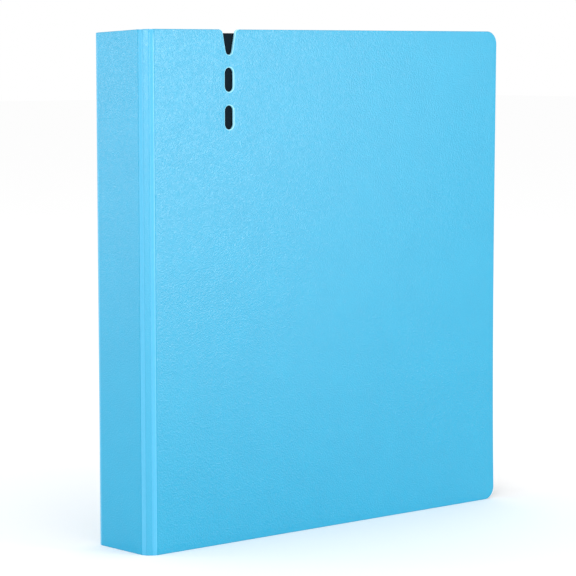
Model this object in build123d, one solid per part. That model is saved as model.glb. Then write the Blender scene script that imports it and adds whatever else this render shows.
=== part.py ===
"""Letter-size ring binder: a moulded plastic case with living hinges and a three-ring mechanism.

Frame: +Z up, millimetres, origin at the bottom centre of the bounding box.
The binder stands closed on its bottom edge. The spine faces -X, the front cover faces -Y,
the back cover faces +Y and the covers' free edges are at +X.
"""
import os
from math import cos, pi, radians, sin, tan

from build123d import *

# ---- Case -------------------------------------------------------------------------------
HEIGHT = 295.0            # front cover, bottom edge to top edge
BACK_TOP_DROP = 1.9       # the sheet's top edge slopes down by this towards the back cover
WIDTH = 278.0             # outer face of the spine to the covers' free edges
DEPTH = 50.2              # outer face to outer face of the two covers
SHEET = 1.6               # thickness of the case sheet
CORNER_RADIUS = 8.0       # free corners of the covers

# ---- Living hinges: two thin webs with a narrow strip between them at each corner ---------
WEB_THICKNESS = 0.5
WEB_LENGTH = 1.8          # developed length of one web
STRIP_WIDTH = 3.8
FOLD = radians(45)        # each web's bend when the binder is closed

# ---- Cut-outs near the top of the front cover ----------------------------------------------
CUTOUT_X = 60.4           # centre line, from the spine's outer face
SLOT_WIDTH = 6.4
SLOT_LENGTH = 13.8
SLOT_DROP = 28.4          # top edge to the centre of the upper slot
SLOT_PITCH = 21.4
NOTCH_DEPTH = 14.4
NOTCH_LEAN = radians(11.2)  # each side of the notch from the vertical
NOTCH_TIP_RADIUS = 2.65
NOTCH_LIP_RADIUS = 2.6

# ---- Pocket sheet on the inner face of the front cover --------------------------------------
POCKET_THICKNESS = 0.5
POCKET_TOP_DROP = 2.1     # its open top edge below the cover's top edge
POCKET_BOTTOM_RISE = 2.5
POCKET_SPINE_GAP = 14.0   # from the spine's outer face
POCKET_FREE_GAP = 9.0     # from the free edge

# ---- Ring mechanism, riveted to the back cover ----------------------------------------------
MECHANISM_X = 32.0        # its centre line, from the spine's outer face
RING_PITCH = 108.0        # letter paper's hole spacing
WIRE_RADIUS = 1.8
RING_TOP = 39.5           # centre line of the closed rings' top, above the back cover
RING_POST = 13.0          # straight side, from the centre line
RING_BOW = 17.0           # curved side, from the centre line
TIP_GAP = 0.1             # between the two halves of a closed ring

RAIL_HINGE = 9.2          # rails' turning axes, either side of the centre line
RAIL_HINGE_RISE = 3.8     # above the back cover
RAIL_THICKNESS = 0.9
RAIL_REACH = 8.9          # turning axis to inner edge
RAIL_HALF_LENGTH = 116.0
RAIL_CLOSED = 8.0         # degrees the inner edges hang down when the rings are closed
FOOT_REACH = 3.6          # turning axis to the ring's foot
FOOT_RADIUS = 1.1
FINGER_WIDTH = 3.0
FINGER_HALF_LENGTH = 122.7

PLATE_THICKNESS = 0.8
PLATE_APEX = 8.8          # centre of the metal, above the back cover
PLATE_SHOULDER = 4.6      # where the side walls meet the arch
PLATE_HALF_LENGTH = 124.0
LIP_RADIUS = 0.95         # curled edge round each rail, centre of the metal
RING_SLOT_INNER = 2.4
RING_SLOT_OUTER = 9.2
RING_SLOT_WIDTH = 4.6

LEVER_PIVOT = 126.5       # from the middle ring, along the plate
LEVER_PIVOT_RISE = 4.17
LEVER_CLOSED = 17.3       # degrees the jaw hangs down when the rings are closed
LEVER_HUB_RADIUS = 2.0
LEVER_HUB_WIDTH = 12.0
LEVER_JAW = 2.2           # opening between the tongues
LEVER_TONGUE = 5.4
LEVER_TONGUE_WIDTH = 7.2
LEVER_HANDLE = 13.0
LEVER_HANDLE_ANGLE = 52.7  # degrees above the cover, midway between closed and open
LEVER_HANDLE_WIDTH = 16.0
LEVER_HANDLE_THICKNESS = 1.1
PIN_RADIUS = 1.0
PIN_CLEARANCE = 0.05
EAR_INNER = 6.4
EAR_THICKNESS = 0.8

RIVET_SPAN = 80.0         # each rivet from the middle ring
RIVET_RADIUS = 2.2
RIVET_HEAD_RADIUS = 5.0
RIVET_HEAD_HEIGHT = 0.9
STANDOFF_RADIUS = 3.4

# ---- Derived positions ----------------------------------------------------------------------
SPINE_X = -WIDTH / 2
FREE_X = WIDTH / 2
FRONT_Y = -(DEPTH + RIVET_HEAD_HEIGHT) / 2
BACK_Y = FRONT_Y + DEPTH
MIDDLE_Z = HEIGHT / 2
BACK_HEIGHT = HEIGHT - BACK_TOP_DROP
WEB_DEPTH = SHEET - WEB_THICKNESS / 2
WEB_RADIUS = WEB_LENGTH / FOLD
CORNER = (WEB_DEPTH + WEB_RADIUS * (1 - cos(FOLD)) + STRIP_WIDTH * cos(FOLD)
          + WEB_RADIUS * sin(FOLD))

# Mechanism frame: x across the rings, y away from the back cover, z along the plate.
MECHANISM = Plane(origin=(SPINE_X + MECHANISM_X, BACK_Y - SHEET, MIDDLE_Z),
                  x_dir=(1, 0, 0), z_dir=(0, 0, -1))


def place(shape):
    """Move a shape from the mechanism's frame to the binder's."""
    return MECHANISM.location * shape


def mirror_across(shape):
    """The same shape on the other side of the mechanism's centre line."""
    return mirror(shape, about=Plane.YZ)


def mirror_along(shape):
    """The same shape at the other end of the mechanism."""
    return mirror(shape, about=Plane.XY)


def to_back(shape):
    """The back cover's counterpart of a piece of the front corner."""
    middle = Plane(origin=(0, (FRONT_Y + BACK_Y) / 2, 0), z_dir=(0, 1, 0))
    return mirror(shape, about=middle)


# ---- Case pieces ------------------------------------------------------------------------------
def below_top_slope(shape):
    """Cut a piece of the corners or the spine along the sheet's sloping top edge."""
    profile = Polyline((FRONT_Y, -1), (BACK_Y, -1), (BACK_Y, BACK_HEIGHT), (FRONT_Y, HEIGHT),
                       close=True)
    return shape & extrude(Plane.YZ * make_face(profile), WIDTH, both=True)


def make_spine():
    """Flat spine panel between the two corners."""
    size_y = DEPTH - 2 * CORNER
    align = (Align.MIN, Align.CENTER, Align.MIN)
    panel = Pos(SPINE_X, (FRONT_Y + BACK_Y) / 2, 0) * Box(SHEET, size_y, HEIGHT, align=align)
    return below_top_slope(panel)


def corner_frame(point, angle):
    """Plane at a point of the front corner's web line, local x at an angle from +X."""
    direction = (cos(angle), sin(angle), 0)
    return Plane(origin=(point[0], point[1], 0), x_dir=direction, z_dir=(0, 0, 1))


def front_web_start():
    """Where the spine's web begins, on the web line."""
    return (SPINE_X + WEB_DEPTH, FRONT_Y + CORNER)


def after_web(point, heading):
    """End of a web that starts at a point with a heading and bends by the fold."""
    centre = (point[0] - WEB_RADIUS * sin(heading), point[1] + WEB_RADIUS * cos(heading))
    turned = heading + FOLD
    return (centre[0] + WEB_RADIUS * sin(turned), centre[1] - WEB_RADIUS * cos(turned))


def make_web(point, heading):
    """One bent web, starting at a point of the web line with a heading."""
    centre = (point[0] - WEB_RADIUS * sin(heading), point[1] + WEB_RADIUS * cos(heading))
    inner = WEB_RADIUS - WEB_THICKNESS / 2
    outer = WEB_RADIUS + WEB_THICKNESS / 2
    turned = heading + FOLD
    middle = heading + FOLD / 2
    def at(radius, angle):
        return (centre[0] + radius * sin(angle), centre[1] - radius * cos(angle))
    outline = Curve() + [
        ThreePointArc(at(outer, heading), at(outer, middle), at(outer, turned)),
        Line(at(outer, turned), at(inner, turned)),
        ThreePointArc(at(inner, turned), at(inner, middle), at(inner, heading)),
        Line(at(inner, heading), at(outer, heading)),
    ]
    return extrude(make_face(outline), HEIGHT)


def make_strip(point, heading):
    """The narrow full-thickness strip between two webs."""
    length_align = (Align.MIN, Align.MIN, Align.MIN)
    panel = Box(STRIP_WIDTH, SHEET, HEIGHT, align=length_align)
    return corner_frame(point, heading).location * (Pos(0, -WEB_DEPTH, 0) * panel)


def cover_outline(height):
    """Cover panel from the corner's web to the free edge, before its corners are rounded."""
    start = SPINE_X + CORNER
    length = FREE_X - start
    return Pos(start + length / 2, height / 2) * Rectangle(length, height)


def round_free_corners(outline):
    """Round the two corners at the free edge."""
    return fillet(outline.vertices().group_by(Axis.X)[-1], CORNER_RADIUS)


def stand_up(outline):
    """Cover sheet with the outline as its outer face, on the front cover's plane."""
    plane = Plane(origin=(0, FRONT_Y, 0), x_dir=(1, 0, 0), z_dir=(0, -1, 0))
    return extrude(plane * outline, -SHEET)


def cut_notch(outline):
    """Tapered notch in the top edge, with rounded lips and a round tip."""
    centre = SPINE_X + CUTOUT_X
    straight = NOTCH_DEPTH - NOTCH_TIP_RADIUS
    half_mouth = straight * tan(NOTCH_LEAN) + NOTCH_TIP_RADIUS / cos(NOTCH_LEAN)
    apex = (centre, HEIGHT - half_mouth / tan(NOTCH_LEAN))
    lips = [(centre - half_mouth, HEIGHT), (centre + half_mouth, HEIGHT)]
    outline -= make_face(Polyline(*lips, apex, close=True))
    for corner, radius in ((apex, NOTCH_TIP_RADIUS), (lips[0], NOTCH_LIP_RADIUS),
                           (lips[1], NOTCH_LIP_RADIUS)):
        nearest = outline.vertices().sort_by_distance(corner)[0]
        outline = fillet(nearest, radius)
    return outline


def cut_slots(outline):
    """Two upright slots below the notch."""
    for number in range(2):
        centre = Pos(SPINE_X + CUTOUT_X, HEIGHT - SLOT_DROP - number * SLOT_PITCH)
        outline -= centre * SlotOverall(SLOT_LENGTH, SLOT_WIDTH, rotation=90)
    return outline


def make_front_cover():
    """Front cover with the cut-outs near its top."""
    outline = round_free_corners(cover_outline(HEIGHT))
    return stand_up(cut_slots(cut_notch(outline)))


def make_back_cover():
    """Plain back cover with the two rivet holes."""
    cover = to_back(stand_up(round_free_corners(cover_outline(BACK_HEIGHT))))
    for side in (-1, 1):
        cover -= place(Pos(0, 0, side * RIVET_SPAN) * along_y(RIVET_RADIUS, -2 * SHEET, SHEET))
    return cover


def make_pocket():
    """Thin sheet welded to the inner face of the front cover, open at the top."""
    length = WIDTH - POCKET_SPINE_GAP - POCKET_FREE_GAP
    height = HEIGHT - POCKET_TOP_DROP - POCKET_BOTTOM_RISE
    plane = Plane(origin=(SPINE_X + POCKET_SPINE_GAP + length / 2, FRONT_Y + SHEET,
                          POCKET_BOTTOM_RISE + height / 2),
                  x_dir=(1, 0, 0), z_dir=(0, -1, 0))
    return extrude(plane * RectangleRounded(length, height, 2.0), -POCKET_THICKNESS)


# ---- Mechanism pieces, drawn in the mechanism's frame -------------------------------------------
def along_y(radius, start, end):
    """Cylinder standing on the back cover, between two heights."""
    align = (Align.CENTER, Align.CENTER, Align.MIN)
    cylinder = Cylinder(radius, end - start, align=align)
    return Pos(0, start, 0) * Rot(-90, 0, 0) * cylinder


def along_x(radius, width):
    """Cylinder across the mechanism, centred."""
    return Rot(0, 90, 0) * Cylinder(radius, width)


def plate_arch_radius():
    """Radius of the arch's centre line."""
    half = RAIL_HINGE + LIP_RADIUS
    rise = PLATE_APEX - PLATE_SHOULDER
    return (half * half + rise * rise) / (2 * rise)


def arch_half_section():
    """Right half of the plate's section: arch, side wall and curled edge."""
    arch_radius = plate_arch_radius()
    centre_y = PLATE_APEX - arch_radius
    half_metal = PLATE_THICKNESS / 2
    wall = RAIL_HINGE + LIP_RADIUS
    ring = Circle(arch_radius + half_metal) - Circle(arch_radius - half_metal)
    arch = Pos(0, centre_y) * ring
    window_height = PLATE_APEX + half_metal - PLATE_SHOULDER
    window = Pos(0, PLATE_SHOULDER) * Rectangle(wall + half_metal, window_height + 1,
                                                align=(Align.MIN, Align.MIN))
    side = Pos(wall, RAIL_HINGE_RISE) * Rectangle(
        PLATE_THICKNESS, PLATE_SHOULDER - RAIL_HINGE_RISE + half_metal,
        align=(Align.CENTER, Align.MIN))
    curl = Circle(LIP_RADIUS + half_metal) - Circle(LIP_RADIUS - half_metal)
    curl &= Rectangle(LIP_RADIUS + 1, LIP_RADIUS + 1, align=(Align.MIN, Align.MAX))
    lip = Pos(0, -LIP_RADIUS) * Rectangle(0.3, PLATE_THICKNESS, align=(Align.MAX, Align.CENTER))
    edge = Pos(RAIL_HINGE, RAIL_HINGE_RISE) * (curl + lip)
    return (arch & window) + side + edge


def make_ear():
    """Lug at one end of the plate that holds the lever's pin."""
    start = RAIL_HALF_LENGTH + 1
    half = LEVER_HUB_RADIUS + 0.4
    profile = Pos(LEVER_PIVOT, LEVER_PIVOT_RISE) * Circle(half)
    profile += Pos(start, LEVER_PIVOT_RISE) * Rectangle(
        LEVER_PIVOT - start, 2 * half, align=(Align.MIN, Align.CENTER))
    profile += Pos(start, LEVER_PIVOT_RISE) * Rectangle(
        PLATE_HALF_LENGTH - start - 0.6, 2.9, align=(Align.MIN, Align.MIN))
    profile -= Pos(LEVER_PIVOT, LEVER_PIVOT_RISE) * Circle(PIN_RADIUS)
    side_plane = Plane(origin=(EAR_INNER, 0, 0), x_dir=(0, 0, 1), z_dir=(-1, 0, 0))
    return extrude(side_plane * profile, -EAR_THICKNESS)


def make_plate_blank():
    """Arched plate with rounded ends and no openings."""
    half = extrude(arch_half_section(), PLATE_HALF_LENGTH, both=True)
    plate = half + mirror_across(half)
    width = 2 * (RAIL_HINGE + LIP_RADIUS) + PLATE_THICKNESS
    outline = RectangleRounded(width, 2 * PLATE_HALF_LENGTH, 5.0)
    trim = extrude(Plane.XZ * outline, -2 * PLATE_APEX)
    return plate & trim


def make_plate():
    """Arched cover plate of the mechanism, with ring slots, rivet holes and lever lugs."""
    plate = make_plate_blank()
    slot_length = RING_SLOT_OUTER - RING_SLOT_INNER
    slot_centre = (RING_SLOT_OUTER + RING_SLOT_INNER) / 2
    cutter = extrude(Plane.XZ * SlotOverall(slot_length, RING_SLOT_WIDTH), -2 * PLATE_APEX)
    for ring in (-1, 0, 1):
        for side in (-1, 1):
            plate -= Pos(side * slot_centre, 0, ring * RING_PITCH) * cutter
    for side in (-1, 1):
        plate -= Pos(0, 0, side * RIVET_SPAN) * along_y(RIVET_RADIUS, 0, 2 * PLATE_APEX)
    ear = make_ear()
    for lug in (ear, mirror_across(ear)):
        plate += [lug, mirror_along(lug)]
    return plate


def make_right_rail():
    """Rail on the straight side of the rings, in its closed position."""
    half = RAIL_THICKNESS / 2
    reach = Rectangle(RAIL_REACH, RAIL_THICKNESS, align=(Align.MAX, Align.CENTER))
    rail = extrude(reach + Circle(half), RAIL_HALF_LENGTH, both=True)
    finger = Box(FINGER_WIDTH, RAIL_THICKNESS, 2 * FINGER_HALF_LENGTH,
                 align=(Align.MIN, Align.CENTER, Align.CENTER))
    rail += Pos(-RAIL_REACH, 0, 0) * finger
    for side in (-1, 1):
        relief = along_y(STANDOFF_RADIUS + 0.8, -RAIL_THICKNESS, RAIL_THICKNESS)
        rail -= Pos(-RAIL_HINGE, 0, side * RIVET_SPAN) * relief
    for ring in (-1, 0, 1):
        hole = along_y(FOOT_RADIUS, -RAIL_THICKNESS, RAIL_THICKNESS)
        rail -= Pos(-FOOT_REACH, 0, ring * RING_PITCH) * hole
    rail = Rot(0, 0, RAIL_CLOSED) * rail
    return Pos(RAIL_HINGE, RAIL_HINGE_RISE, 0) * rail


def make_left_rail():
    """Rail on the curved side of the rings, in its closed position."""
    return mirror_across(make_right_rail())


class WirePath:
    """A path of lines and arcs, each tangent to the one before."""

    def __init__(self, point, heading):
        self.point = Vector(point)
        self.heading = heading
        self.edges = []

    def go(self, length):
        """Straight length along the heading."""
        step = Vector(cos(self.heading), sin(self.heading)) * length
        self.edges.append(Line(self.point, self.point + step))
        self.point = self.point + step

    def turn(self, radius, degrees):
        """Arc to the left for a positive angle, to the right for a negative one."""
        side = 1 if degrees > 0 else -1
        normal = Vector(-sin(self.heading), cos(self.heading)) * side
        centre = self.point + normal * radius
        middle = self.heading + radians(degrees) / 2
        final = self.heading + radians(degrees)
        def at(angle):
            return centre - Vector(-sin(angle), cos(angle)) * side * radius
        self.edges.append(ThreePointArc(self.point, at(middle), at(final)))
        self.point = at(final)
        self.heading = final


def foot_point():
    """Centre of the right-hand foot in the rail, and the foot's heading, rings closed."""
    tilt = radians(RAIL_CLOSED)
    point = Vector(RAIL_HINGE - FOOT_REACH * cos(tilt), RAIL_HINGE_RISE - FOOT_REACH * sin(tilt))
    return point, pi / 2 + tilt


def sweep_wire(path):
    """Round wire along a path, with the foot that is staked into the rail."""
    start = path.edges[0] @ 0
    along = path.edges[0] % 0
    profile = Plane(origin=start, z_dir=along) * Circle(WIRE_RADIUS)
    wire = sweep(profile, path=Wire(path.edges), transition=Transition.ROUND)
    foot = Cylinder(FOOT_RADIUS, RAIL_THICKNESS + 0.3, align=(Align.CENTER, Align.CENTER, Align.MAX))
    return wire + Plane(origin=start, z_dir=along).location * foot


def ring_foot_path():
    """Foot of a right-hand half ring: up from the rail and out over the plate."""
    point, heading = foot_point()
    direction = Vector(cos(heading), sin(heading))
    path = WirePath(point + direction * RAIL_THICKNESS / 2, heading)
    path.go(4.6)
    path.turn(3.6, -88)
    return path


def make_post_half():
    """Half ring with the straight post, middle ring."""
    path = ring_foot_path()
    bend = 4.0
    slope = pi / 2 - path.heading
    path.go((RING_POST - path.point.X - bend * (1 - sin(path.heading))) / sin(slope))
    path.turn(bend, 80)
    crown = 6.0
    path.go(RING_TOP - crown - path.point.Y)
    path.turn(crown, 90)
    path.go(path.point.X - TIP_GAP / 2)
    return sweep_wire(path)


def make_bow_half():
    """Half ring with the curved side, middle ring."""
    path = ring_foot_path()
    bend = 8.0
    slope = pi / 2 - path.heading
    path.go((RING_BOW - path.point.X - bend * (1 - sin(path.heading))) / sin(slope))
    path.turn(bend, 80)
    crown = RING_BOW - TIP_GAP / 2
    path.go(RING_TOP - crown - path.point.Y)
    path.turn(crown, 90)
    return mirror_across(sweep_wire(path))


def make_lever():
    """Opening lever at the far end of the plate, in its closed position."""
    hub = along_x(LEVER_HUB_RADIUS, LEVER_HUB_WIDTH)
    tongue = Box(LEVER_TONGUE_WIDTH, 0.8, LEVER_TONGUE, align=(Align.CENTER, Align.MIN, Align.MAX))
    upper = Pos(0, LEVER_JAW / 2, 0) * tongue
    lower = Pos(0, -LEVER_JAW / 2 - 0.8, 0) * tongue
    neck_width = LEVER_HUB_WIDTH - 1.0
    neck = Rectangle(neck_width, 6.5, align=(Align.CENTER, Align.MIN))
    pad = Pos(0, 4.5) * Rectangle(LEVER_HANDLE_WIDTH, LEVER_HANDLE - 4.5,
                                  align=(Align.CENTER, Align.MIN))
    lower_corners = pad.vertices().group_by(Axis.Y)[0]
    pad = fillet(lower_corners, 2.0)
    handle = extrude(neck + pad, LEVER_HANDLE_THICKNESS / 2, both=True)
    rolled = Pos(0, LEVER_HANDLE, 0) * along_x(1.0, LEVER_HANDLE_WIDTH)
    handle = Rot(90 - LEVER_HANDLE_ANGLE, 0, 0) * (handle + rolled)
    lever = hub + upper + lower + handle
    lever -= along_x(PIN_RADIUS + PIN_CLEARANCE, 2 * LEVER_HUB_WIDTH)
    lever = Rot(-LEVER_CLOSED, 0, 0) * lever
    return Pos(0, LEVER_PIVOT_RISE, LEVER_PIVOT) * lever


def make_pins():
    """The two lever pins."""
    pin = along_x(PIN_RADIUS, 2 * (EAR_INNER + EAR_THICKNESS) + 0.8)
    near = Pos(0, LEVER_PIVOT_RISE, LEVER_PIVOT) * pin
    return [near, mirror_along(near)]


def make_standoffs():
    """Collars that hold the plate clear of the back cover."""
    collar = along_y(STANDOFF_RADIUS, 0, PLATE_APEX) - along_y(RIVET_RADIUS, 0, PLATE_APEX)
    collar = Pos(0, 0, RIVET_SPAN) * collar
    arch = make_plate_blank()
    near = (collar - arch).solids().sort_by(Axis.Y)[0]
    return [near, mirror_along(near)]


def make_rivets():
    """Rivets through the plate, the collars and the back cover."""
    shank = along_y(RIVET_RADIUS, -SHEET, PLATE_APEX + 0.4)
    crown = along_y(STANDOFF_RADIUS - 0.2, PLATE_APEX - 0.4, PLATE_APEX + 1.2)
    crown = fillet(crown.edges().sort_by(Axis.Y)[-1], 0.5)
    head = along_y(RIVET_HEAD_RADIUS, -SHEET - RIVET_HEAD_HEIGHT, -SHEET)
    head = fillet(head.edges().sort_by(Axis.Y)[0], 0.6)
    seat = make_plate_blank() - Pos(0, 0, RIVET_SPAN) * along_y(RIVET_RADIUS, 0, 2 * PLATE_APEX)
    rivet = Pos(0, 0, RIVET_SPAN) * (shank + crown + head) - seat
    near = max(rivet.solids(), key=lambda solid: solid.volume)
    return [near, mirror_along(near)]


# ---- All pieces -----------------------------------------------------------------------------
def make_parts():
    """Every sub-part by name, in the binder's frame."""
    start = front_web_start()
    fold_heading = -pi / 2
    strip_start = after_web(start, fold_heading)
    strip_heading = fold_heading + FOLD
    strip_end = (strip_start[0] + STRIP_WIDTH * cos(strip_heading),
                 strip_start[1] + STRIP_WIDTH * sin(strip_heading))
    spine_web = make_web(start, fold_heading)
    cover_web = make_web(strip_end, strip_heading)
    strip = make_strip(strip_start, strip_heading)
    lever = make_lever()
    parts = {
        "spine": make_spine(),
        "front_spine_web": below_top_slope(spine_web),
        "front_strip": below_top_slope(strip),
        "front_cover_web": below_top_slope(cover_web),
        "front_cover": make_front_cover(),
        "front_pocket": make_pocket(),
        "back_spine_web": below_top_slope(to_back(spine_web)),
        "back_strip": below_top_slope(to_back(strip)),
        "back_cover_web": below_top_slope(to_back(cover_web)),
        "back_cover": make_back_cover(),
        "arch_plate": place(make_plate()),
        "bow_rail": place(make_left_rail()),
        "post_rail": place(make_right_rail()),
        "lever_bottom": place(lever),
        "lever_top": place(mirror_along(lever)),
        "lever_pins": group(make_pins()),
        "standoffs": group(make_standoffs()),
        "rivets": group(make_rivets()),
    }
    bow_half = make_bow_half()
    post_half = make_post_half()
    for name, offset in (("top", -RING_PITCH), ("middle", 0), ("bottom", RING_PITCH)):
        parts["ring_bow_" + name] = place(Pos(0, 0, offset) * bow_half)
        parts["ring_post_" + name] = place(Pos(0, 0, offset) * post_half)
    return parts


def group(shapes):
    """Separate identical solids placed in the binder's frame, as one sub-part."""
    return Compound(children=[place(shape).solids()[0] for shape in shapes])


os.makedirs("parts", exist_ok=True)
for name, shape in make_parts().items():
    export_step(shape, "parts/" + name + ".step")
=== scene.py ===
"""Looks for the ring binder: plastic case, hinge webs, pocket and nickel-plated mechanism."""
from math import cos, pi, radians, sin, tan

import bpy
from mathutils import Matrix, Vector
from mathutils.geometry import delaunay_2d_cdt


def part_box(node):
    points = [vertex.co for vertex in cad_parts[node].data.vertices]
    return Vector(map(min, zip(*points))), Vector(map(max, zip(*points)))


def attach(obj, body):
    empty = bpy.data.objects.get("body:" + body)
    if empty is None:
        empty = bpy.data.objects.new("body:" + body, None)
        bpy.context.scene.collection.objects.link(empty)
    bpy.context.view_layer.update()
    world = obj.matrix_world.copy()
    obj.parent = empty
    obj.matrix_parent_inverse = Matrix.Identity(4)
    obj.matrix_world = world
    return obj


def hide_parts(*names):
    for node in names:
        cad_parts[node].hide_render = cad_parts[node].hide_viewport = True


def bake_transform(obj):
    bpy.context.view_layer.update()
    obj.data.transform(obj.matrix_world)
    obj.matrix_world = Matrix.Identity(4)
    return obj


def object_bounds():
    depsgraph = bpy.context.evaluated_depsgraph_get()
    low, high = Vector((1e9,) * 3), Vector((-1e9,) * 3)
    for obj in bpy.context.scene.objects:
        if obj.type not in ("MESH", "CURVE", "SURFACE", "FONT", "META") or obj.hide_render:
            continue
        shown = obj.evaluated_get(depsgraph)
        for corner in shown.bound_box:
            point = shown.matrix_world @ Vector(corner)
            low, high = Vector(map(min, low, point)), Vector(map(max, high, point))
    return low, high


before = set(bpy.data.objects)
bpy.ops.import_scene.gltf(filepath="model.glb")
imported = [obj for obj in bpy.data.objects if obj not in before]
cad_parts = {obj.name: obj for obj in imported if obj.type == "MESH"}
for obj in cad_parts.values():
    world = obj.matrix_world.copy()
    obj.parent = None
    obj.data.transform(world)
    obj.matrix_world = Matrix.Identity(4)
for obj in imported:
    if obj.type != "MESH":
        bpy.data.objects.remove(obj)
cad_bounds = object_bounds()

MM = 0.001

# ---- Places read from the frame ---------------------------------------------------------------
LOW, HIGH = Vector(cad_bounds[0]), Vector(cad_bounds[1])
HEIGHT = HIGH.z - LOW.z
SPINE_LOW, SPINE_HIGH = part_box("spine")
FRONT_LOW, FRONT_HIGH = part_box("front_cover")
BACK_LOW, BACK_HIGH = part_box("back_cover")
POCKET_LOW, POCKET_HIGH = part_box("front_pocket")
SHEET = SPINE_HIGH.x - SPINE_LOW.x
MIDDLE_Y = (FRONT_LOW.y + BACK_HIGH.y) / 2
TOP_DROP = HIGH.z - BACK_HIGH.z   # the sheet's top edge slopes down to the back cover

# ---- Shape details ----------------------------------------------------------------------------
CORNER_RADIUS = 8 * MM
EDGE_ROUND = 0.32 * MM        # softened edge of the die-cut sheet
CUT_ROUND = 0.48 * MM         # edge of the cut-outs, stretched by the punch
CREASE_ROUND = 0.35 * MM      # pressed shoulder beside a hinge groove
ROUND_MIDDLE = 0.29           # share of an edge's radius where the middle of its rounding lies
GROOVE_DEPTH = 0.22 * MM      # of a hinge groove, below the sheet's outer face
BOW_IN = 1.4 * MM             # how far the front cover's free edge bows inwards
BOW_SKEW = 0.72               # power that brings the deepest bow below half height
BACK_BOW = 0.6                # the back cover's bow, as a share of the front cover's

# Cut-outs of the front cover, of the same sizes as in the part's own source.
CUTOUT_X = LOW.x + 60.4 * MM
SLOT_WIDTH = 6.4 * MM
SLOT_LENGTH = 13.8 * MM
SLOT_DROPS = (28.4 * MM, 49.8 * MM)
NOTCH_DEPTH = 14.4 * MM
NOTCH_LEAN = 11.2             # degrees of each side from the vertical
NOTCH_TIP = 2.65 * MM
NOTCH_LIP = 2.6 * MM

STRIP_WIDTH = 3.8 * MM
FOLD = radians(45)            # that one web takes up in the closed case
WEB_THICKNESS = 0.5 * MM
WEB_LENGTH = 1.8 * MM
WEB_RADIUS = WEB_LENGTH / FOLD
WEB_DEPTH = SHEET - WEB_THICKNESS / 2
WEB_TUCK = 0.35 * MM          # reach of a web's edges into the panels beside it
WEB_TRIM = 0.1 * MM           # how far a web stops short of the case's top and bottom
WEB_STEPS = 8                 # facets round a web's bend
WEB_LEVELS = 60               # rows along a web's height

POCKET_CORNER = 2 * MM
POCKET_ROUND = 0.12 * MM
WELD_INSET = 3.5 * MM         # weld line inside the pocket's edges
WELD_PITCH = 6.0 * MM
WELD_LENGTH = 4.0 * MM
WELD_WIDTH = 1.1 * MM
WELD_HEIGHT = 0.20 * MM
WELD_SUNK = 0.05 * MM         # of a mark's underside, below the pocket's face
WELD_SHOULDER = 0.05 * MM     # height of a mark's straight side
WELD_TAPER = 0.25 * MM        # from its side in to its top

# Distances between mesh points.
OUTLINE_STEP = 5 * MM
SLOT_STEP = 2 * MM
POCKET_STEP = 4 * MM
PANEL_GRID = 6 * MM
BACK_GRID = 7 * MM
STRIP_GRID = 1.9 * MM


# ---- Materials --------------------------------------------------------------------------------
def srgb(red, green, blue):
    """Linear colour from 0-255 display values."""
    def linear(value):
        value /= 255
        return value / 12.92 if value <= 0.04045 else ((value + 0.055) / 1.055) ** 2.4
    return (linear(red), linear(green), linear(blue), 1)


class Nodes:
    """A material's node tree with short calls for adding and linking nodes."""

    def __init__(self, name):
        self.material = bpy.data.materials.new(name)
        self.material.use_nodes = True
        self.tree = self.material.node_tree
        self.shader = self.tree.nodes["Principled BSDF"]
        self.place = self.add("ShaderNodeTexCoord").outputs["Object"]

    def add(self, kind, **settings):
        node = self.tree.nodes.new(kind)
        for key, value in settings.items():
            setattr(node, key, value)
        return node

    def link(self, output, target):
        self.tree.links.new(output, target)

    def noise(self, scale, detail=2.0, rough=0.5, stretch=None):
        """Noise over the object's own coordinates, optionally stretched."""
        node = self.add("ShaderNodeTexNoise")
        node.inputs["Scale"].default_value = scale
        node.inputs["Detail"].default_value = detail
        node.inputs["Roughness"].default_value = rough
        place = self.place
        if stretch:
            mapping = self.add("ShaderNodeMapping")
            mapping.inputs["Scale"].default_value = stretch
            self.link(place, mapping.inputs["Vector"])
            place = mapping.outputs["Vector"]
        self.link(place, node.inputs["Vector"])
        return node.outputs["Fac"]

    def span(self, value, low, high, start=0.3, end=0.7):
        """Map a noise value to a range."""
        node = self.add("ShaderNodeMapRange")
        node.inputs["From Min"].default_value = start
        node.inputs["From Max"].default_value = end
        node.inputs["To Min"].default_value = low
        node.inputs["To Max"].default_value = high
        self.link(value, node.inputs["Value"])
        return node.outputs["Result"]

    def blend_colours(self, factor, first, second):
        node = self.add("ShaderNodeMix", data_type="RGBA")
        node.inputs["A"].default_value = first
        node.inputs["B"].default_value = second
        self.link(factor, node.inputs["Factor"])
        return node.outputs["Result"]

    def bump(self, value, distance, strength=1.0, base=None):
        node = self.add("ShaderNodeBump")
        node.inputs["Strength"].default_value = strength
        node.inputs["Distance"].default_value = distance
        self.link(value, node.inputs["Height"])
        if base is not None:
            self.link(base, node.inputs["Normal"])
        return node.outputs["Normal"]


PIGMENT_SPECK = (0.80, 0.86, 0.90, 1)


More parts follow.
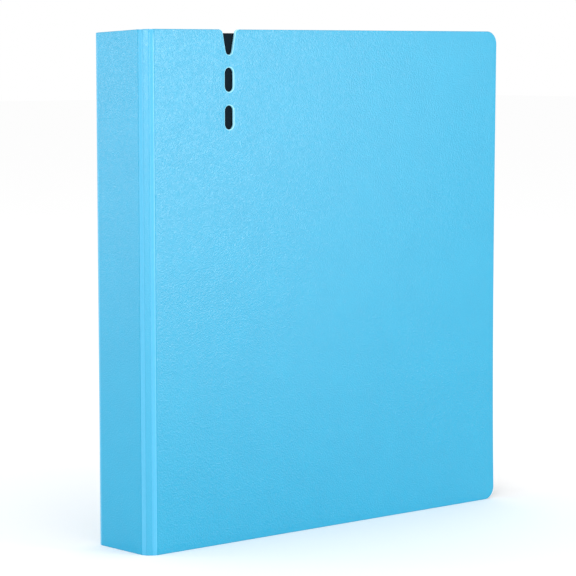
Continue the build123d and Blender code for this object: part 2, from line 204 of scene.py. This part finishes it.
def plastic(name, light, dark, roughness, grain, grain_scale, specular=0.5):
    """Moulded plastic: fine sand grain, faint cloudy colour and uneven gloss.

    grain is the depth of the sand grain in metres, and grain_scale its fineness."""
    nodes = Nodes(name)
    shader = nodes.shader
    cloud = nodes.noise(38, detail=4, rough=0.6)
    fleck = nodes.noise(grain_scale * 0.6, detail=1)
    tint = nodes.blend_colours(nodes.span(cloud, 0.0, 0.55), dark, light)
    speck = nodes.add("ShaderNodeMix", data_type="RGBA", blend_type="MULTIPLY")
    nodes.link(nodes.span(fleck, 0.0, 0.22), speck.inputs["Factor"])
    nodes.link(tint, speck.inputs["A"])
    speck.inputs["B"].default_value = PIGMENT_SPECK
    nodes.link(speck.outputs["Result"], shader.inputs["Base Color"])
    gloss = nodes.noise(grain_scale * 0.35, detail=3)
    nodes.link(nodes.span(gloss, roughness - 0.05, roughness + 0.05), shader.inputs["Roughness"])
    ripple = nodes.bump(nodes.noise(60, detail=2), 0.0003, strength=0.10)
    sand = nodes.noise(grain_scale, detail=2, rough=0.6)
    fine = nodes.bump(sand, grain, strength=0.8, base=ripple)
    nodes.link(fine, shader.inputs["Normal"])
    shader.inputs["Specular IOR Level"].default_value = specular
    return nodes.material


def nickel(name, tone, roughness, stretch):
    """Nickel-plated steel with fine drawn scratches and faint smudges."""
    nodes = Nodes(name)
    shader = nodes.shader
    smudge = nodes.noise(90, detail=5, rough=0.65)
    dark = tuple(channel * 0.82 for channel in tone[:3]) + (1,)
    smudged = nodes.blend_colours(nodes.span(smudge, 0, 1), dark, tone)
    nodes.link(smudged, shader.inputs["Base Color"])
    shader.inputs["Metallic"].default_value = 1.0
    drawn = nodes.noise(900, detail=3, rough=0.7, stretch=stretch)
    nodes.link(nodes.span(drawn, roughness - 0.06, roughness + 0.10), shader.inputs["Roughness"])
    ripple = nodes.bump(nodes.noise(120, detail=1), 0.00015, strength=0.2)
    scratches = nodes.bump(drawn, 0.00001, strength=0.35, base=ripple)
    nodes.link(scratches, shader.inputs["Normal"])
    return nodes.material


CASE = plastic("case_plastic", srgb(16, 152, 188), srgb(14, 147, 183), 0.33, 0.00019, 1150, 0.42)
# Slightly paler copy of the case colour for the spine: painted light for how the spine is lit.
SPINE_PAINTED_LIGHT = plastic("spine_painted_light_plastic", srgb(16, 153, 191), srgb(14, 148, 186), 0.33, 0.00017, 1150, 0.42)
# Paler copy of the case colour for the hinge strips: painted light for the front light that the
# slanted strips catch.
STRIP_PAINTED_LIGHT = plastic("strip_painted_light_plastic", srgb(53, 162, 199), srgb(50, 158, 195), 0.33, 0.00008, 1150, 0.45)
# Palest copy of the case colour for the hinge grooves: a painted highlight where the bent webs
# catch the light.
GROOVE_PAINTED_HIGHLIGHT = plastic("groove_painted_highlight_plastic", srgb(78, 172, 209), srgb(73, 168, 205), 0.34, 0.00003, 900, 0.38)
# Paler colour for the rims of the slots and the notch: a painted highlight along the cut edges.
CUT_EDGE_PAINTED_HIGHLIGHT = plastic("cut_edge_painted_highlight_plastic", srgb(160, 222, 240), srgb(146, 214, 235), 0.50, 0.00004, 1500)
POCKET = plastic("pocket_plastic", srgb(13, 27, 35), srgb(10, 22, 30), 0.60, 0.00008, 1300, 0.03)
WELD = plastic("weld_plastic", srgb(34, 52, 62), srgb(28, 45, 54), 0.36, 0.00002, 900, 0.45)
PLATE_METAL = nickel("plate_nickel", (0.76, 0.74, 0.70, 1), 0.24, (1, 1, 0.04))
WIRE_METAL = nickel("wire_nickel", (0.80, 0.78, 0.75, 1), 0.17, (1, 1, 1))
RIVET_METAL = nickel("rivet_nickel", (0.74, 0.72, 0.69, 1), 0.26, (1, 1, 1))


# ---- Flat outlines ----------------------------------------------------------------------------
def arc(centre, radius, start, end, steps):
    """Points along an arc in degrees, both ends included."""
    points = []
    for step in range(steps + 1):
        angle = radians(start + (end - start) * step / steps)
        points.append(Vector((centre[0] + radius * cos(angle), centre[1] + radius * sin(angle))))
    return points


def spread(points, spacing):
    """Add points on the long runs of a closed outline."""
    result = []
    for index, point in enumerate(points):
        following = points[(index + 1) % len(points)]
        count = max(1, round((following - point).length / spacing))
        for step in range(count):
            result.append(point.lerp(following, step / count))
    return result


def without_repeats(points):
    """Drop points that fall on the one before."""
    result = []
    for index, point in enumerate(points):
        if (point - points[index - 1]).length > 1e-7:
            result.append(point)
    return result


def rectangle(left, right, bottom, top):
    """Anticlockwise outline of a plain panel."""
    corners = [Vector((left, bottom)), Vector((right, bottom))]
    corners += [Vector((right, top)), Vector((left, top))]
    return without_repeats(spread(corners, OUTLINE_STEP))


def rounded_rectangle(low, high, radius, spacing):
    """Anticlockwise outline between two opposite corners, rounded at all four."""
    left, right = low.x + radius, high.x - radius
    bottom, top = low.z + radius, high.z - radius
    centres = ((right, bottom), (right, top), (left, top), (left, bottom))
    points = []
    for centre, start in zip(centres, (-90, 0, 90, 180)):
        points += arc(centre, radius, start, start + 90, 4)
    return without_repeats(spread(without_repeats(points), spacing))


def panel_outline(left, right, bottom, top, radius, notched):
    """Anticlockwise outline, rounded at the right-hand corners, optionally notched at the top."""
    points = [Vector((left, bottom))]
    points += arc((right - radius, bottom + radius), radius, -90, 0, 10)
    points += arc((right - radius, top - radius), radius, 0, 90, 10)
    if notched:
        points += notch_outline(top)
    points += [Vector((left, top))]
    return without_repeats(spread(without_repeats(points), OUTLINE_STEP))


def notch_half_mouth():
    """Half the notch's width at the top edge, before its lips are rounded."""
    lean = radians(NOTCH_LEAN)
    return (NOTCH_DEPTH - NOTCH_TIP) * tan(lean) + NOTCH_TIP / cos(lean)


def notch_outline(top):
    """The notch's edge from its right lip down round the tip and up to its left lip."""
    lean = radians(NOTCH_LEAN)
    lip_x = CUTOUT_X + notch_half_mouth() + NOTCH_LIP * (1 - sin(lean)) / cos(lean)
    right = arc((lip_x, top - NOTCH_LIP), NOTCH_LIP, 90, 180 - NOTCH_LEAN, 8)
    tip_z = top - NOTCH_DEPTH + NOTCH_TIP
    tip = arc((CUTOUT_X, tip_z), NOTCH_TIP, -NOTCH_LEAN, -180 + NOTCH_LEAN, 14)
    left = [Vector((2 * CUTOUT_X - point.x, point.y)) for point in reversed(right)]
    return right + tip + left


def slot_outline(centre_z):
    """Clockwise outline of one slot, as a hole."""
    radius = SLOT_WIDTH / 2
    half = SLOT_LENGTH / 2 - radius
    points = arc((CUTOUT_X, centre_z + half), radius, 180, 0, 12)
    points += arc((CUTOUT_X, centre_z - half), radius, 0, -180, 12)
    return without_repeats(spread(points, SLOT_STEP))


def inset(points, distance):
    """Outline moved to its left by a distance."""
    result = []
    count = len(points)
    for index, point in enumerate(points):
        before = (point - points[index - 1]).normalized()
        after = (points[(index + 1) % count] - point).normalized()
        left_before = Vector((-before.y, before.x))
        left_after = Vector((-after.y, after.x))
        normal = left_before + left_after
        if normal.length < 1e-6:
            normal = left_after
        normal.normalize()
        miter = max(0.5, normal.dot(left_after))
        result.append(point + normal * distance / miter)
    return result


def inside(point, outline):
    """Whether a point is inside a closed outline, by the even-odd rule."""
    crossings = False
    for index, first in enumerate(outline):
        second = outline[index - 1]
        if (first.y > point.y) != (second.y > point.y):
            cut = first.x + (point.y - first.y) * (second.x - first.x) / (second.y - first.y)
            if point.x < cut:
                crossings = not crossings
    return crossings


def flat_triangles(loops, spacing):
    """Triangles between closed loops, with a grid of points between them.

    Returns the points, loops first in their own order, and the triangles."""
    points = [point for loop in loops for point in loop]
    edges = []
    first = 0
    for loop in loops:
        count = len(loop)
        edges += [(first + step, first + (step + 1) % count) for step in range(count)]
        first += count
    outer, *holes = loops

    def in_sheet(spot):
        return inside(spot, outer) and not any(inside(spot, hole) for hole in holes)

    low_x = min(point.x for point in outer)
    high_x = max(point.x for point in outer)
    low_y = min(point.y for point in outer)
    high_y = max(point.y for point in outer)
    columns = max(1, round((high_x - low_x) / spacing))
    rows = max(1, round((high_y - low_y) / spacing))
    nearest = 0.45 * spacing
    grid = []
    for column in range(1, columns):
        for row in range(1, rows):
            shift = 0.5 if row % 2 else 0.0
            spot = Vector((low_x + (high_x - low_x) * (column + shift) / columns,
                           low_y + (high_y - low_y) * row / rows))
            if not in_sheet(spot):
                continue
            if min((spot - point).length_squared for point in points) < nearest ** 2:
                continue
            grid.append(spot)
    found = delaunay_2d_cdt(points + grid, edges, [], 2, 1e-8)
    spots = list(found[0])
    triangles = []
    for face in found[2]:
        middle = sum((spots[corner] for corner in face), Vector((0, 0))) / len(face)
        if in_sheet(middle):
            triangles.append(tuple(face))
    return spots, triangles


# ---- Mesh making ------------------------------------------------------------------------------
def new_object(name, points, faces, materials, indices=None):
    """Mesh object from points and faces, shaded smooth with weighted normals."""
    mesh = bpy.data.meshes.new(name)
    mesh.from_pydata([tuple(point) for point in points], [], faces)
    mesh.validate()
    for material in materials:
        mesh.materials.append(material)
    if indices:
        mesh.polygons.foreach_set("material_index", indices)
    mesh.polygons.foreach_set("use_smooth", [True] * len(mesh.polygons))
    mesh.update()
    made = bpy.data.objects.new(name, mesh)
    bpy.context.scene.collection.objects.link(made)
    weighted = made.modifiers.new("even_shading", "WEIGHTED_NORMAL")
    weighted.weight = 100
    weighted.keep_sharp = True
    return made


def wall_faces(rings):
    """Faces between rings of point numbers, from the near ring to the far one."""
    faces = []
    for near, far in zip(rings, rings[1:]):
        for step in range(len(near)):
            after = (step + 1) % len(near)
            faces.append((near[step], far[step], far[after], near[after]))
    return faces


def sheet_object(name, loops, thickness, to_space, materials, spacing, rounds, edge_materials):
    """A plate cut from flat outlines, with rounded edges.

    to_space(u, v, depth) places a point. rounds gives the edge radius of each loop and
    edge_materials the material number of each loop's wall."""
    top_loops = [inset(loop, radius) for loop, radius in zip(loops, rounds)]
    flat, triangles = flat_triangles(top_loops, spacing)
    points = [to_space(spot.x, spot.y, 0.0) for spot in flat]
    points += [to_space(spot.x, spot.y, thickness) for spot in flat]
    far_start = len(flat)
    faces = []
    for triangle in triangles:
        faces.append(triangle)
        faces.append(tuple(index + far_start for index in reversed(triangle)))
    indices = [0] * len(faces)
    start = 0
    for loop, radius, edge_material in zip(loops, rounds, edge_materials):
        count = len(loop)
        soft = radius * ROUND_MIDDLE
        rings = [list(range(start, start + count))]
        for depth, inward in ((soft, soft), (radius, 0.0),
                              (thickness - radius, 0.0), (thickness - soft, soft)):
            first = len(points)
            points += [to_space(spot.x, spot.y, depth) for spot in inset(loop, inward)]
            rings.append(list(range(first, first + count)))
        rings.append(list(range(far_start + start, far_start + start + count)))
        wall = wall_faces(rings)
        faces += wall
        indices += [edge_material] * len(wall)
        start += count
    return new_object(name, points, faces, materials, indices)


# ---- Case and pocket --------------------------------------------------------------------------
def bow(x, z):
    """Inward bow of the front cover: none at the hinge, most low on the free edge."""
    across = max(0.0, (x - FRONT_LOW.x) / (FRONT_HIGH.x - FRONT_LOW.x))
    up = (z - LOW.z) / HEIGHT
    swell = sin(pi * min(1.0, max(0.0, up)) ** BOW_SKEW)
    return BOW_IN * across ** 2 * swell


def front_space(u, v, depth):
    """Point of the front cover's sheet, depth from its outer face."""
    return Vector((u, FRONT_LOW.y + depth + bow(u, v), v))


def back_space(u, v, depth):
    """Point of the back cover's sheet, depth from its outer face."""
    return Vector((u, BACK_HIGH.y - depth - BACK_BOW * bow(u, v), v))


def settle(spot):
    """Bring a point of the spine or a corner down with the sloping top edge."""
    share = (spot.y - FRONT_LOW.y) / (BACK_HIGH.y - FRONT_LOW.y)
    up = (spot.z - LOW.z) / HEIGHT
    return Vector((spot.x, spot.y, spot.z - TOP_DROP * share * up))


def mirror_y(y, mirrored):
    """The same place at the back corner, if mirrored."""
    return 2 * MIDDLE_Y - y if mirrored else y


def make_front_cover():
    """Front cover's sheet, with the notch and the slots, whose rims are paler: a painted highlight
    along the cut edges.
    """
    outline = panel_outline(FRONT_LOW.x, FRONT_HIGH.x, LOW.z, HIGH.z, CORNER_RADIUS, True)
    loops = [outline] + [slot_outline(HIGH.z - drop) for drop in SLOT_DROPS]
    cover = sheet_object("front_cover_sheet", loops, SHEET, front_space, [CASE, CUT_EDGE_PAINTED_HIGHLIGHT], PANEL_GRID,
                         [EDGE_ROUND, CUT_ROUND, CUT_ROUND], [0, 1, 1])
    # The notch's walls take the same painted highlight as the slots' rims.
    near_notch = notch_half_mouth() + NOTCH_LIP
    for face in cover.data.polygons:
        middle = face.center
        at_notch = middle.z > HIGH.z - NOTCH_DEPTH - MM and abs(middle.x - CUTOUT_X) < near_notch
        if at_notch and abs(face.normal.y) < 0.95:
            face.material_index = 1
    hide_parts("front_cover")
    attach(cover, "front_cover")


def make_back_cover():
    """Back cover's sheet, plain."""
    outline = panel_outline(BACK_LOW.x, BACK_HIGH.x, LOW.z, BACK_HIGH.z, CORNER_RADIUS, False)

    def from_inside(u, v, depth):
        return back_space(u, v, SHEET - depth)

    cover = sheet_object("back_cover_sheet", [outline], SHEET, from_inside, [CASE], BACK_GRID,
                         [EDGE_ROUND], [0])
    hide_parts("back_cover")
    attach(cover, "back_cover")


def make_spine():
    """Spine's sheet, between the two corners."""
    low, high = SPINE_LOW, SPINE_HIGH
    outline = rectangle(low.y, high.y, low.z, HIGH.z)

    def space(u, v, depth):
        return settle(Vector((low.x + depth, low.y + high.y - u, v)))

    # The spine's slightly paler colour is painted light.
    spine = sheet_object("spine_sheet", [outline], SHEET, space, [SPINE_PAINTED_LIGHT], PANEL_GRID,
                         [EDGE_ROUND], [0])
    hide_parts("spine")
    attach(spine, "spine")


def ahead(heading):
    """Unit vector along a heading."""
    return Vector((cos(heading), sin(heading)))


def outward(heading):
    """Unit vector out of the case, where its sheet runs along a heading."""
    return Vector((sin(heading), -cos(heading)))


def after_web(start, heading):
    """Where a web ends, and its heading there."""
    turned = heading + FOLD
    centre = start - outward(heading) * WEB_RADIUS
    return centre + outward(turned) * WEB_RADIUS, turned


def corner_points():
    """Start and heading of the front corner's first web, its strip and its second web."""
    start = Vector((LOW.x + WEB_DEPTH, SPINE_LOW.y))
    heading = -pi / 2
    middle, turned = after_web(start, heading)
    far = middle + ahead(turned) * STRIP_WIDTH
    return (start, heading), (middle, turned), (far, turned)


def make_strip(name, body, mirrored):
    """Full-thickness strip between two webs."""
    _, (start, heading), _ = corner_points()
    outline = rectangle(0, STRIP_WIDTH, LOW.z, HIGH.z)

    def space(u, v, depth):
        if mirrored:
            depth = SHEET - depth
        spot = start + ahead(heading) * u + outward(heading) * (WEB_DEPTH - depth)
        return settle(Vector((spot.x, mirror_y(spot.y, mirrored), v)))

    # The strip's paler colour is painted light.
    strip = sheet_object(name, [outline], SHEET, space, [STRIP_PAINTED_LIGHT], STRIP_GRID, [CREASE_ROUND], [0])
    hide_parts(body)
    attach(strip, body)


def web_section(start, heading):
    """Closed cross-section of a web, along its outer side and back along its inner one."""
    centre = start - outward(heading) * WEB_RADIUS
    end, turned = after_web(start, heading)
    line = [(start - ahead(heading) * WEB_TUCK, outward(heading))]
    for step in range(WEB_STEPS + 1):
        normal = outward(heading + FOLD * step / WEB_STEPS)
        line.append((centre + normal * WEB_RADIUS, normal))
    line.append((end + ahead(turned) * WEB_TUCK, outward(turned)))
    outer = [spot + normal * (WEB_DEPTH - GROOVE_DEPTH) for spot, normal in line]
    inner = [spot - normal * (WEB_THICKNESS / 2) for spot, normal in line]
    return outer + inner[::-1]


def make_web(name, node, start, heading, mirrored):
    """Thin web of a living hinge, bent as in the closed case, between two bodies."""
    section = web_section(start, heading)
    count = len(section)
    points = []
    for level in range(WEB_LEVELS + 1):
        z = LOW.z + WEB_TRIM + (HEIGHT - 2 * WEB_TRIM) * level / WEB_LEVELS
        points += [settle(Vector((spot.x, mirror_y(spot.y, mirrored), z))) for spot in section]
    faces = []
    for level in range(WEB_LEVELS):
        for step in range(count):
            after = (step + 1) % count
            faces.append((level * count + step, level * count + after,
                          (level + 1) * count + after, (level + 1) * count + step))
    for level in (0, WEB_LEVELS):
        for step in range(count // 2 - 1):
            corners = (step, step + 1, count - 2 - step, count - 1 - step)
            if level == 0:
                corners = tuple(reversed(corners))
            faces.append(tuple(level * count + corner for corner in corners))
    if mirrored:
        faces = [tuple(reversed(face)) for face in faces]
    # The web's pale colour is a painted highlight.
    web = new_object(name, points, faces, [GROOVE_PAINTED_HIGHLIGHT])
    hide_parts(node)

    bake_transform(web)


def make_hinges():
    """Strips and webs of both corners."""
    (web_start, web_heading), _, (far_start, far_heading) = corner_points()
    for side, mirrored in (("front", False), ("back", True)):
        strip = side + "_strip"
        make_strip(strip + "_sheet", strip, mirrored)
        make_web(side + "_spine_crease", side + "_spine_web",
                 web_start, web_heading, mirrored)
        make_web(side + "_cover_crease", side + "_cover_web",
                 far_start, far_heading, mirrored)


def pocket_space(u, v, depth):
    """Point of the pocket's sheet, depth from the face against the cover."""
    return Vector((u, POCKET_LOW.y + bow(u, v) + depth, v))


def make_pocket():
    """Thin pocket sheet inside the front cover."""
    low, high = POCKET_LOW, POCKET_HIGH
    outline = rounded_rectangle(low, high, POCKET_CORNER, POCKET_STEP)
    pocket = sheet_object("front_pocket_sheet", [outline], high.y - low.y, pocket_space,
                          [POCKET], PANEL_GRID, [POCKET_ROUND], [0])
    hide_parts("front_pocket")
    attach(pocket, "front_cover")


def weld_places():
    """Middle and heading of every weld mark, along the pocket's two sides and its bottom."""
    left = POCKET_LOW.x + WELD_INSET
    right = POCKET_HIGH.x - WELD_INSET
    bottom = POCKET_LOW.z + WELD_INSET
    top = POCKET_HIGH.z - WELD_INSET
    places = []
    rows = round((top - bottom) / WELD_PITCH)
    for row in range(1, rows + 1):
        z = bottom + (top - bottom) * row / rows
        places.append((Vector((left, z)), 90))
        places.append((Vector((right, z)), 90))
    columns = round((right - left) / WELD_PITCH)
    for column in range(1, columns):
        x = left + (right - left) * column / columns
        places.append((Vector((x, bottom)), 0))
    return places


def make_weld():
    """Low raised marks where the pocket is welded to the cover."""
    face_depth = POCKET_HIGH.y - POCKET_LOW.y
    radius = WELD_WIDTH / 2
    points = []
    faces = []
    for middle, heading in weld_places():
        half = ahead(radians(heading)) * (WELD_LENGTH / 2 - radius)
        outline = arc(middle + half, radius, heading - 90, heading + 90, 4)
        outline += arc(middle - half, radius, heading + 90, heading + 270, 4)
        rings = []
        for inward, lift in ((0.0, -WELD_SUNK), (0.0, WELD_SHOULDER), (WELD_TAPER, WELD_HEIGHT)):
            first = len(points)
            moved = inset(outline, inward)
            points += [pocket_space(spot.x, spot.y, face_depth + lift) for spot in moved]
            rings.append(list(range(first, first + len(moved))))
        faces += [rings[0], rings[-1][::-1]] + wall_faces(rings)
    weld = new_object("front_pocket_weld", points, faces, [WELD])
    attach(weld, "front_cover")


def metal_of(node_name):
    """Metal of one of the mechanism's pieces, or None for the rest of the binder."""
    if node_name.startswith("ring_"):
        return WIRE_METAL
    if node_name in ("rivets", "lever_pins", "standoffs"):
        return RIVET_METAL
    if node_name in ("arch_plate", "bow_rail", "post_rail", "lever_top", "lever_bottom"):
        return PLATE_METAL
    return None


def finish_metal():
    """Nickel-plated finishes on the mechanism's CAD pieces."""
    for name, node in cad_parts.items():
        metal = metal_of(name)
        if metal:
            for place in node.material_slots:
                place.material = metal


# ---- Stage ------------------------------------------------------------------------------------
FLOOR_REACH = 12.0
FLOOR_TONE = (0.98, 0.98, 0.98, 1)
CAMERA_YAW = radians(41.19)                     # from the binder's depth towards its width
CAMERA_PITCH = radians(-5.38)
CAMERA_ROLL = radians(-0.11)
CAMERA_LENS = 153.3
CAMERA_PLACE = Vector((-2.830, -3.638, 0.947))  # from the front bottom corner, in heights
LIGHTS = (                                      # name, place, side and watts
    ("cover_sheen", (1.09, -2.00, 0.33), 0.66, 24),
    ("spine_sheen", (-1.60, 1.80, 0.27), 0.73, 9),
    ("spine_fill", (-2.20, 0.05, 0.90), 1.0, 6),
    ("front_fill", (-1.80, -1.31, 0.52), 0.5, 15),
)


def make_floor():
    """Pale floor the binder stands on."""
    reach = FLOOR_REACH
    corners = [(-reach, -reach, 0), (reach, -reach, 0), (reach, reach, 0), (-reach, reach, 0)]
    mesh = bpy.data.meshes.new("floor")
    mesh.from_pydata(corners, [], [(0, 1, 2, 3)])
    floor = bpy.data.objects.new("floor", mesh)
    bpy.context.scene.collection.objects.link(floor)
    nodes = Nodes("pale_floor")
    nodes.shader.inputs["Base Color"].default_value = FLOOR_TONE
    nodes.shader.inputs["Roughness"].default_value = 0.9
    nodes.shader.inputs["Specular IOR Level"].default_value = 0.0
    mesh.materials.append(nodes.material)


def make_camera():
    """Three-quarter view of the spine and the front cover, from level with the binder's top."""
    forward = Vector((sin(CAMERA_YAW) * cos(CAMERA_PITCH), cos(CAMERA_YAW) * cos(CAMERA_PITCH),
                      sin(CAMERA_PITCH)))
    right = forward.cross(Vector((0, 0, 1))).normalized()
    up = right.cross(forward)
    tilted = right * cos(CAMERA_ROLL) + up * sin(CAMERA_ROLL)
    upright = up * cos(CAMERA_ROLL) - right * sin(CAMERA_ROLL)
    data = bpy.data.cameras.new("camera")
    data.sensor_width = 36
    data.lens = CAMERA_LENS
    camera = bpy.data.objects.new("camera", data)
    turn = Matrix((tilted, upright, -forward)).transposed().to_4x4()
    corner = Vector((LOW.x, FRONT_LOW.y, LOW.z))
    place = corner + CAMERA_PLACE * HEIGHT
    camera.matrix_world = Matrix.Translation(place) @ turn
    bpy.context.scene.collection.objects.link(camera)
    bpy.context.scene.camera = camera


def add_light(name, place, side, watts):
    """Square lamp that points at the binder, and that the camera doesn't see."""
    light = bpy.data.lights.new(name, "AREA")
    light.shape = "SQUARE"
    light.size = side
    light.energy = watts
    lamp = bpy.data.objects.new(name, light)
    lamp.location = place
    direction = Vector((0, 0, 0.6 * HEIGHT)) - lamp.location
    lamp.rotation_euler = direction.to_track_quat("-Z", "Y").to_euler()
    lamp.visible_camera = False
    bpy.context.scene.collection.objects.link(lamp)


def make_light():
    """Soft white studio light."""
    scene = bpy.context.scene
    scene.view_settings.view_transform = "Standard"
    world = bpy.data.worlds.new("studio")
    world.use_nodes = True
    background = world.node_tree.nodes["Background"]
    background.inputs["Color"].default_value = (1, 1, 1, 1)
    background.inputs["Strength"].default_value = 1.0
    scene.world = world
    for light in LIGHTS:
        add_light(*light)


make_camera()
make_front_cover()
make_back_cover()
make_spine()
make_hinges()
make_pocket()
make_weld()
finish_metal()
make_floor()
make_light()
